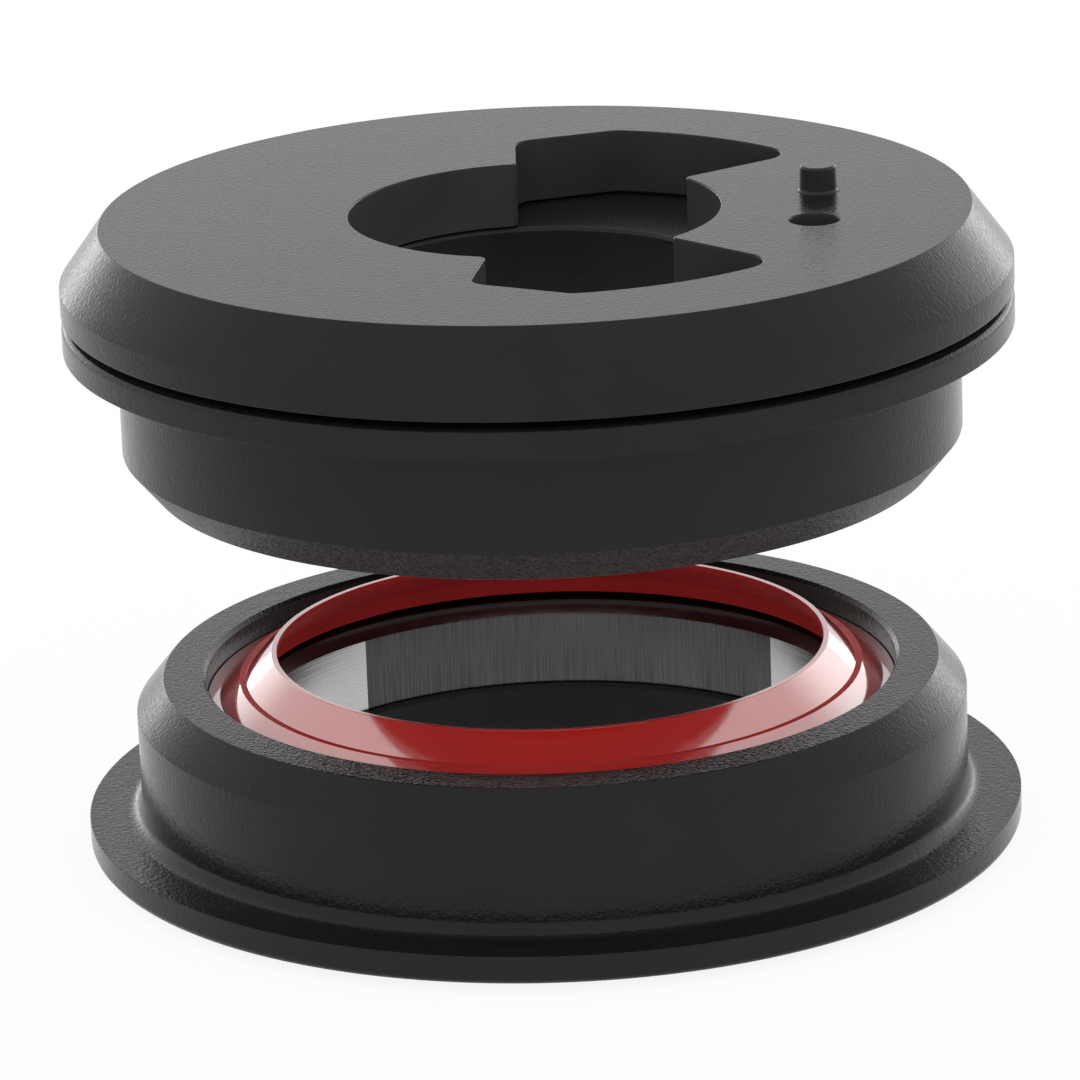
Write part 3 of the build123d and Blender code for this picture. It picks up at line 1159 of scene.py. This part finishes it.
    def blind_hole(self, centre: Vector, steps: HoleSteps, edge: float) -> list[list[int]]:
        """Turns a round hole with a floor.

        Args:
            centre: The hole's place in plan.
            steps: The hole's radii and the depth that each one reaches.
            edge: The rounding of its edge.

        Returns:
            The rows from the top face to the hole's floor.
        """
        top = self.reach.top
        mouth, _ = steps[0]
        corners = [Corner(mouth + self.margin, top), Corner(mouth, top, edge)]
        for (radius, depth), (narrower, _) in zip(steps, (*steps[1:], (0.0, 0.0))):
            corners.append(Corner(radius, top - depth))
            corners.append(Corner(narrower, top - depth))
        return self.sketch.spin(Outline(tuple(corners), closed=False), centre, PIN_SEGMENTS)

    def build(self) -> None:
        """Makes the cover as one closed mesh and seats it."""
        sketch = self.sketch
        low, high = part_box("locating_pin")
        pin_centre = ((low + high) / 2 / MM).to_2d()
        hole_centre = Vector((pin_centre.x, -pin_centre.y))
        cut = self.cut_rows()
        cut_faces = len(sketch.faces)
        rim = self.rim()
        pin_seat = self.blind_hole(pin_centre, self.pin_seat, Edge.CRISP)
        hole_start = len(sketch.faces)
        hole = self.blind_hole(hole_centre, self.key_hole, self.hole_edge)
        cut_away = {*range(cut_faces), *range(hole_start, len(sketch.faces))}
        sketch.fill([rim[-1], cut[0], pin_seat[0], hole[0]], UP)
        sketch.fill([rim[0], cut[-1]], -UP)
        piece = seat(sketch, "top_cover_shell", self.body, self.finishes.cover, "top_cover")
        # The walls of the cut and the key hole take the lighter colour of painted light.
        redress(
            piece, self.finishes.cover_cut_painted_light, lambda face: face.index in cut_away and face.normal.z < WALL_TILT
        )
        dress("cover_seal", self.finishes.rubber)


@dataclass
class LocatingPin:
    """Pin with a stem in the cover, a sunk collar that flares into the pin, and a bevelled top."""

    finishes: Finishes
    body: str = "cover_group"
    stem_radius: float = 1.2
    stem_length: float = 3.0
    collar_depth: float = 0.3
    foot: tuple[float, float] = (1.47, 0.16)
    head_radius: float = 1.41
    bevel: float = 0.15

    def build(self) -> None:
        """Turns the pin about its own axis and seats it."""
        low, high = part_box("locating_pin")
        centre = ((low + high) / 2 / MM).to_2d()
        collar_radius = (high.x - low.x) / 2 / MM
        bottom = low.z / MM
        top = high.z / MM
        face = bottom + self.stem_length
        foot_radius, foot_height = self.foot
        sketch = MeshSketch()
        sketch.spin(Outline((
            Corner(0.0, bottom),
            Corner(self.stem_radius, bottom),
            Corner(self.stem_radius, face - self.collar_depth),
            Corner(collar_radius, face - self.collar_depth),
            Corner(collar_radius, face),
            Corner(foot_radius, face + foot_height, Edge.EASED),
            Corner(self.head_radius, top - self.bevel, Edge.EASED),
            Corner(self.head_radius - self.bevel, top, Edge.EASED),
            Corner(0.0, top),
        ), closed=False), centre, PIN_SEGMENTS)
        seat(sketch, "locating_pin_turned", self.body, self.finishes.pin, "locating_pin")


@dataclass
class SteererWiper:
    """Two-step conical wiper above the lower bearing."""

    finishes: Finishes
    body: str = "lower_cup_group"
    foot_thickness: float = 0.85
    valley_radius: float = 26.35
    ledge: tuple[float, float] = (24.25, 24.75)
    ledge_rise: float = 1.45
    lip: tuple[float, float] = (21.7, 22.15)
    lip_depth: float = 0.45
    throat_radius: float = 23.75
    undercut: float = 0.65
    heel_radius: float = 25.65

    def build(self) -> None:
        """Turns the wiper and seats it."""
        reach = NodeReach.of("steerer_wiper_seal")
        foot_top = reach.bottom + self.foot_thickness
        ledge = foot_top + self.ledge_rise
        ledge_in, ledge_out = self.ledge
        lip_in, lip_out = self.lip
        undercut = reach.bottom + self.undercut
        section = Outline((
            Corner(self.heel_radius, reach.bottom),
            Corner(reach.radius, reach.bottom),
            Corner(reach.radius, foot_top),
            Corner(self.valley_radius, foot_top, Edge.EASED),
            Corner(ledge_out, ledge, Edge.SHARP),
            Corner(ledge_in, ledge, Edge.SHARP),
            Corner(lip_out, reach.top),
            Corner(lip_in, reach.top),
            Corner(lip_in, reach.top - self.lip_depth),
            Corner(self.throat_radius, ledge - self.lip_depth),
            Corner(self.throat_radius, undercut),
            Corner(self.heel_radius, undercut),
        ))
        sketch = MeshSketch()
        sketch.spin(section)
        name = "steerer_wiper_cone"
        piece = seat(sketch, name, self.body, self.finishes.wiper, "steerer_wiper_seal")

        def on_ledge(face: bpy.types.MeshPolygon) -> bool:
            """Whether a face is the flat of the ledge."""
            return face.normal.z > FLAT_TILT and abs(face.center.z / MM - ledge) < Edge.CRISP

        redress(piece, self.finishes.wiper_inside, lambda face: looks_inward(face) or on_ledge(face))


@dataclass
class CrownRace:
    """Race on the fork crown: cone, skirt and the groove of its seal."""

    finishes: Finishes
    body: str = "crown_group"
    bore_radius: float = 23.0
    bore_bevel: float = 0.3
    cone_sum: float = 27.58
    groove_radius: float = 28.48
    groove: tuple[float, float] = (0.75, 1.65)
    shoulder: float = 1.8

    def build(self) -> None:
        """Turns the race, seats it and dresses its seal."""
        reach = NodeReach.of("crown_race")
        groove_low, groove_high = self.groove
        section = Outline((
            Corner(self.bore_radius, reach.bottom),
            Corner(reach.radius, reach.bottom, Edge.EASED),
            Corner(reach.radius, groove_low),
            Corner(self.groove_radius, groove_low),
            Corner(self.groove_radius, groove_high),
            Corner(reach.radius, groove_high),
            Corner(reach.radius, self.shoulder),
            Corner(self.cone_sum - self.shoulder, self.shoulder),
            Corner(self.cone_sum - reach.top, reach.top),
            Corner(self.bore_radius + self.bore_bevel, reach.top),
            Corner(self.bore_radius, reach.top - self.bore_bevel),
        ))
        sketch = MeshSketch()
        sketch.spin(section)
        seat(sketch, "crown_race_ring", self.body, self.finishes.crown, "crown_race")
        dress("crown_race_seal", self.finishes.rubber)


@dataclass(frozen=True)
class ViewCamera:
    """A centred camera, fitted to the outline of the headset in the photograph."""

    distance: float = 482.67
    height: float = 174.79
    azimuth: float = 4.9
    yaw: float = -0.059
    pitch: float = 17.36
    roll: float = -2.1
    focal_pixels: float = 6396.0
    frame_pixels: float = 1080.0
    sensor: float = 36.0
    near: float = 10.0

    def build(self) -> None:
        """Makes the camera and gives it to the scene."""
        yaw, pitch, roll = (math.radians(angle) for angle in (self.yaw, self.pitch, self.roll))
        ahead = Vector((
            math.sin(yaw) * math.cos(pitch),
            math.cos(yaw) * math.cos(pitch),
            -math.sin(pitch),
        ))
        level = Vector((math.cos(yaw), -math.sin(yaw), 0.0))
        above = level.cross(ahead)
        right = level * math.cos(roll) + above * math.sin(roll)
        upward = above * math.cos(roll) - level * math.sin(roll)
        turned = Matrix((right, upward, -ahead)).transposed().to_4x4()
        turned.translation = Vector((0.0, -self.distance, self.height)) * MM
        data = bpy.data.cameras.new("photo_camera")
        data.sensor_width = self.sensor
        data.lens = self.focal_pixels / self.frame_pixels * self.sensor
        data.clip_start = self.near * MM
        camera = bpy.data.objects.new("photo_camera", data)
        bpy.context.scene.collection.objects.link(camera)
        camera.matrix_world = Matrix.Rotation(math.radians(self.azimuth), 4, "Z") @ turned
        bpy.context.scene.camera = camera
        LOG.info("camera with a %.1f mm lens", data.lens)


@dataclass(frozen=True)
class SoftLamp:
    """A studio lamp behind a wide diffuser that looks at the headset, in metres and watts."""

    name: str
    place: tuple[float, float, float]
    width: float
    height: float
    power: float
    fade: tuple[float, float] = (0.5, 0.05)

    def build(self, target: Vector) -> None:
        """Hangs the lamp.

        Args:
            target: The point that it looks at, in metres.
        """
        data = bpy.data.lights.new(self.name, "AREA")
        data.shape = "RECTANGLE"
        data.size = self.width
        data.size_y = self.height
        data.energy = self.power
        self.soften(data)
        lamp = bpy.data.objects.new(self.name, data)
        bpy.context.scene.collection.objects.link(lamp)
        lamp.location = Vector(self.place)
        lamp.rotation_euler = (target - lamp.location).to_track_quat("-Z", "Y").to_euler()
        lamp.visible_camera = False
        LOG.info("lamp %s of %.1f W", self.name, self.power)

    def soften(self, data: bpy.types.AreaLight) -> None:
        """Fades the lamp's diffuser towards its edges.

        Args:
            data: The lamp.
        """
        data.use_nodes = True
        nodes = NodeTable(data.node_tree)
        edge, core = self.fade
        spot = nodes.add("ShaderNodeNewGeometry")
        reach = nodes.add("ShaderNodeVectorMath", (spot, "Parametric"), operation="DISTANCE")
        reach.inputs[1].default_value = DIFFUSER_MIDDLE
        fade = nodes.add(
            "ShaderNodeMapRange",
            (reach, "Value"),
            interpolation_type="SMOOTHSTEP",
            From_Min=edge,
            From_Max=core,
        )
        nodes.link(fade, "Result", data.node_tree.nodes["Emission"], "Strength")


@dataclass(frozen=True)
class Studio:
    """Pale floor, white surroundings and soft lamps."""

    floor_radius: float = 2500.0
    floor_white: float = 0.93
    floor_colour: Colour = (0.98, 0.98, 0.98)
    shade_radius: tuple[float, float] = (22.0, 38.0)
    shade_white: float = 0.65
    fill: float = 1.0
    lamps: tuple[SoftLamp, ...] = (
        SoftLamp("left_panel", (-0.66, 1.0, 0.14), 1.2, 1.2, 3.6),
        SoftLamp("right_panel", (0.72, 0.96, 0.24), 1.3, 1.5, 6.5),
        SoftLamp("left_strip", (-0.56, 1.06, 0.08), 0.9, 0.24, 1.5),
        SoftLamp("right_strip", (0.52, 1.08, 0.08), 0.9, 0.24, 1.2),
    )

    def surroundings(self) -> None:
        """Sets white surroundings that fill the light at a plain level."""
        world = bpy.data.worlds.new("white_surroundings")
        world.use_nodes = True
        background = world.node_tree.nodes["Background"]
        background.inputs["Color"].default_value = WHITE
        background.inputs["Strength"].default_value = self.fill
        bpy.context.scene.world = world

    def floor_material(self) -> bpy.types.Material:
        """Makes paper that the camera and every reflection see as white round a soft shade.

        Returns:
            The floor's material.
        """
        material = bpy.data.materials.new("pale_floor")
        material.use_nodes = True
        material.node_tree.nodes.clear()
        nodes = NodeTable(material.node_tree)
        near, far = self.shade_radius
        path = nodes.add("ShaderNodeLightPath")
        seen = nodes.add(
            "ShaderNodeMath", (path, "Is Camera Ray"), (path, "Is Glossy Ray"), operation="MAXIMUM"
        )
        shown = nodes.add(
            "ShaderNodeMath", (seen, "Value"), (path, "Is Transmission Ray"), operation="MAXIMUM"
        )
        places = nodes.add("ShaderNodeTexCoord")
        reach = nodes.add("ShaderNodeVectorMath", (places, "Object"), operation="LENGTH")
        shade = nodes.add(
            "ShaderNodeMapRange",
            (reach, "Value"),
            From_Min=near * MM,
            From_Max=far * MM,
            To_Min=self.shade_white,
            To_Max=self.floor_white,
        )
        share = nodes.add("ShaderNodeMath", (shown, "Value"), (shade, "Result"), operation="MULTIPLY")
        matte = nodes.add("ShaderNodeBsdfDiffuse", Color=(*self.floor_colour, 1.0))
        white = nodes.add("ShaderNodeEmission", Color=WHITE)
        blend = nodes.add("ShaderNodeMixShader", (share, "Value"), (matte, "BSDF"), (white, "Emission"))
        nodes.add("ShaderNodeOutputMaterial", (blend, "Shader"))
        return material

    def floor(self) -> None:
        """Lays the floor under the headset."""
        low, _ = CAD_BOX
        sketch = MeshSketch()
        sketch.spin(Outline((
            Corner(self.floor_radius, low.z / MM),
            Corner(0.0, low.z / MM),
        ), closed=False), segments=PIN_SEGMENTS)
        floor = sketch.to_object("studio_floor")
        floor.data.materials.append(self.floor_material())

    def build(self) -> None:
        """Sets up the whole studio."""
        low, high = CAD_BOX
        self.surroundings()
        self.floor()
        for lamp in self.lamps:
            lamp.build((low + high) / 2)
        bpy.context.scene.view_settings.view_transform = "Standard"


def main() -> None:
    """Builds the stacks, the studio and the camera in order."""
    logging.basicConfig(level=logging.INFO, format="%(name)s: %(message)s")
    finishes = Finishes()
    upper = Stack.upper()
    lower = Stack.lower()
    PressCup(lower, finishes).build()
    CartridgeBearing(lower, "crown_group", finishes).build()
    SteererWiper(finishes).build()
    CrownRace(finishes).build()
    PressCup(upper, finishes).build()
    CartridgeBearing(upper, "cover_group", finishes).build()
    CompressionRing(finishes).build()
    TopCover(finishes).build()
    LocatingPin(finishes).build()
    Studio().build()
    ViewCamera().build()


if __name__ == "__main__":
    main()
